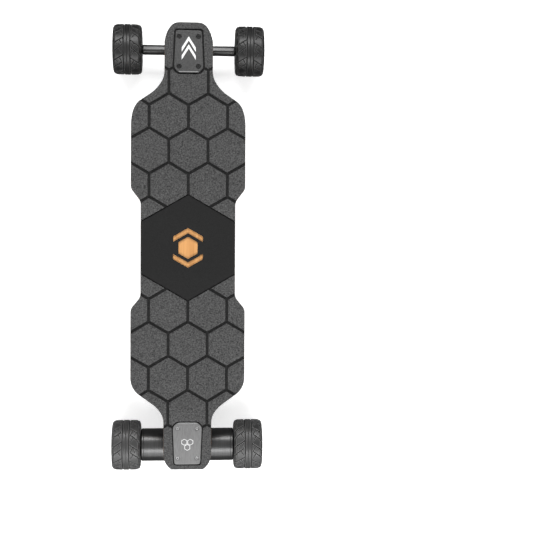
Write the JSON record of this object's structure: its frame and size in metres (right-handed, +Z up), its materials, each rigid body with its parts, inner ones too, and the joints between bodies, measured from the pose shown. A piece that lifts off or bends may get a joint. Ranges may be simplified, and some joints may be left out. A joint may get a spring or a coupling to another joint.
{
  "type": "electric skateboard",
  "caption": "Long waisted deck with foam tread, underslung battery enclosure, turning trucks, wide treaded tyres and motors beside the rear wheels.",
  "frame": {"origin": "on the ground, under the middle of the board, midway between the two axles", "axes": "+Y to the nose, +X to the rider's right when facing the nose, +Z up from the ground"},
  "size_m": [0.331, 0.988, 0.146],
  "materials": {
    "bamboo": "clear-coated bamboo laminate, dark grey painted underside",
    "eva_foam": "closed-cell foam, fine grain, matt",
    "smooth_foam": "smooth dark foam, matt",
    "dark_plate": "dark grey anodised, bead blasted",
    "light_plate": "light grey anodised, bead blasted",
    "black_plastic": "moulded black, fine texture",
    "gloss_black": "smooth black",
    "black_metal": "black powder coat",
    "cast_metal": "cast, light grey",
    "anodised": "dark grey anodised, turned",
    "steel": "zinc plated",
    "tyre": "black rubber, treaded",
    "hub_plastic": "glass-filled nylon",
    "urethane": "satin urethane",
    "trim_rubber": "soft matt rubber",
    "cable_jacket": "satin cable jacket",
    "lens": "clear lens",
    "battery_wrap": "heat-shrink wrap",
    "circuit_board": "soldermask"
  },
  "bodies": {
    "board": {"deck": "bamboo", "grip_front": "eva_foam", "grip_rear": "eva_foam", "centre_panel": "smooth_foam", "nose_plate": "dark_plate", "tail_plate": "light_plate", "enclosure": "black_plastic", "enclosure_gasket": "trim_rubber", "battery_pack": "battery_wrap", "motor_controller": "cast_metal", "receiver_board": "circuit_board", "power_button_bezel": "steel", "charge_port": "steel", "lamp_bracket": "black_plastic", "lamp_housing_left": "black_metal", "lamp_housing_right": "black_metal", "lamp_lens_left": "lens", "lamp_lens_right": "lens", "rear_riser": "black_plastic", "motor_cable_left": "cable_jacket", "motor_cable_right": "cable_jacket", "lamp_cable": "cable_jacket", "tail_cable": "cable_jacket", "front_baseplate": "cast_metal", "front_kingpin": "steel", "front_kingpin_nut": "steel", "front_bushing_upper": "urethane", "front_bushing_lower": "urethane", "front_pivot_cup": "urethane", "rear_baseplate": "cast_metal", "rear_kingpin": "steel", "rear_kingpin_nut": "steel", "rear_bushing_upper": "urethane", "rear_bushing_lower": "urethane", "rear_pivot_cup": "urethane"},
    "front_truck": {"front_hanger": "black_metal", "axle_nut_front_left": "steel", "axle_nut_front_right": "steel"},
    "rear_truck": {"rear_hanger": "black_metal", "motor_stator_left": "black_metal", "motor_stator_right": "black_metal", "axle_nut_rear_left": "steel", "axle_nut_rear_right": "steel"},
    "wheel_front_left": {"tyre_front_left": "tyre", "hub_front_left": "hub_plastic", "bearings_front_left": "steel"},
    "wheel_front_right": {"tyre_front_right": "tyre", "hub_front_right": "hub_plastic", "bearings_front_right": "steel"},
    "wheel_rear_left": {"tyre_rear_left": "tyre", "hub_rear_left": "hub_plastic", "bearings_rear_left": "steel", "motor_can_left": "anodised"},
    "wheel_rear_right": {"tyre_rear_right": "tyre", "hub_rear_right": "hub_plastic", "bearings_rear_right": "steel", "motor_can_right": "anodised"},
    "power_button": {"power_button": "gloss_black"},
    "lamp_switch": {"lamp_switch": "steel"},
    "charge_port_cap": {"charge_port_cap": "trim_rubber"}
  },
  "joints": [
    {"name": "front_steer", "type": "hinge", "parent": "board", "child": "front_truck", "pos_m": [0, 0.416, 0.058], "axis": [0, 0.7295, 0.6839], "range_deg": [-15, 15], "stiffness_Nm_per_rad": 60, "deforming": ["front_bushing_upper", "front_bushing_lower"]},
    {"name": "rear_steer", "type": "hinge", "parent": "board", "child": "rear_truck", "pos_m": [0, -0.416, 0.058], "axis": [0, -0.7295, 0.6839], "range_deg": [-15, 15], "stiffness_Nm_per_rad": 60, "deforming": ["rear_bushing_upper", "rear_bushing_lower", "motor_cable_left", "motor_cable_right"]},
    {"name": "front_left_spin", "type": "hinge", "parent": "front_truck", "child": "wheel_front_left", "pos_m": [-0.1345, 0.439, 0.055], "axis": [1, 0, 0], "continuous": true},
    {"name": "front_right_spin", "type": "hinge", "parent": "front_truck", "child": "wheel_front_right", "pos_m": [0.1345, 0.439, 0.055], "axis": [1, 0, 0], "continuous": true},
    {"name": "rear_left_spin", "type": "hinge", "parent": "rear_truck", "child": "wheel_rear_left", "pos_m": [-0.1345, -0.439, 0.055], "axis": [1, 0, 0], "continuous": true},
    {"name": "rear_right_spin", "type": "hinge", "parent": "rear_truck", "child": "wheel_rear_right", "pos_m": [0.1345, -0.439, 0.055], "axis": [1, 0, 0], "continuous": true},
    {"name": "power_button_press", "type": "slide", "parent": "board", "child": "power_button", "axis": [-0.9563, 0, 0.2924], "range_m": [0, 0.0015], "stiffness_N_per_m": 800},
    {"name": "lamp_switch_press", "type": "slide", "parent": "board", "child": "lamp_switch", "axis": [0, 0.866, 0.5], "range_m": [0, 0.0012], "stiffness_N_per_m": 800},
    {"name": "charge_cap_flap", "type": "hinge", "parent": "board", "child": "charge_port_cap", "pos_m": [-0.07441, 0.206, 0.11386], "axis": [0, 1, 0], "range_deg": [0, 95]}
  ]
}
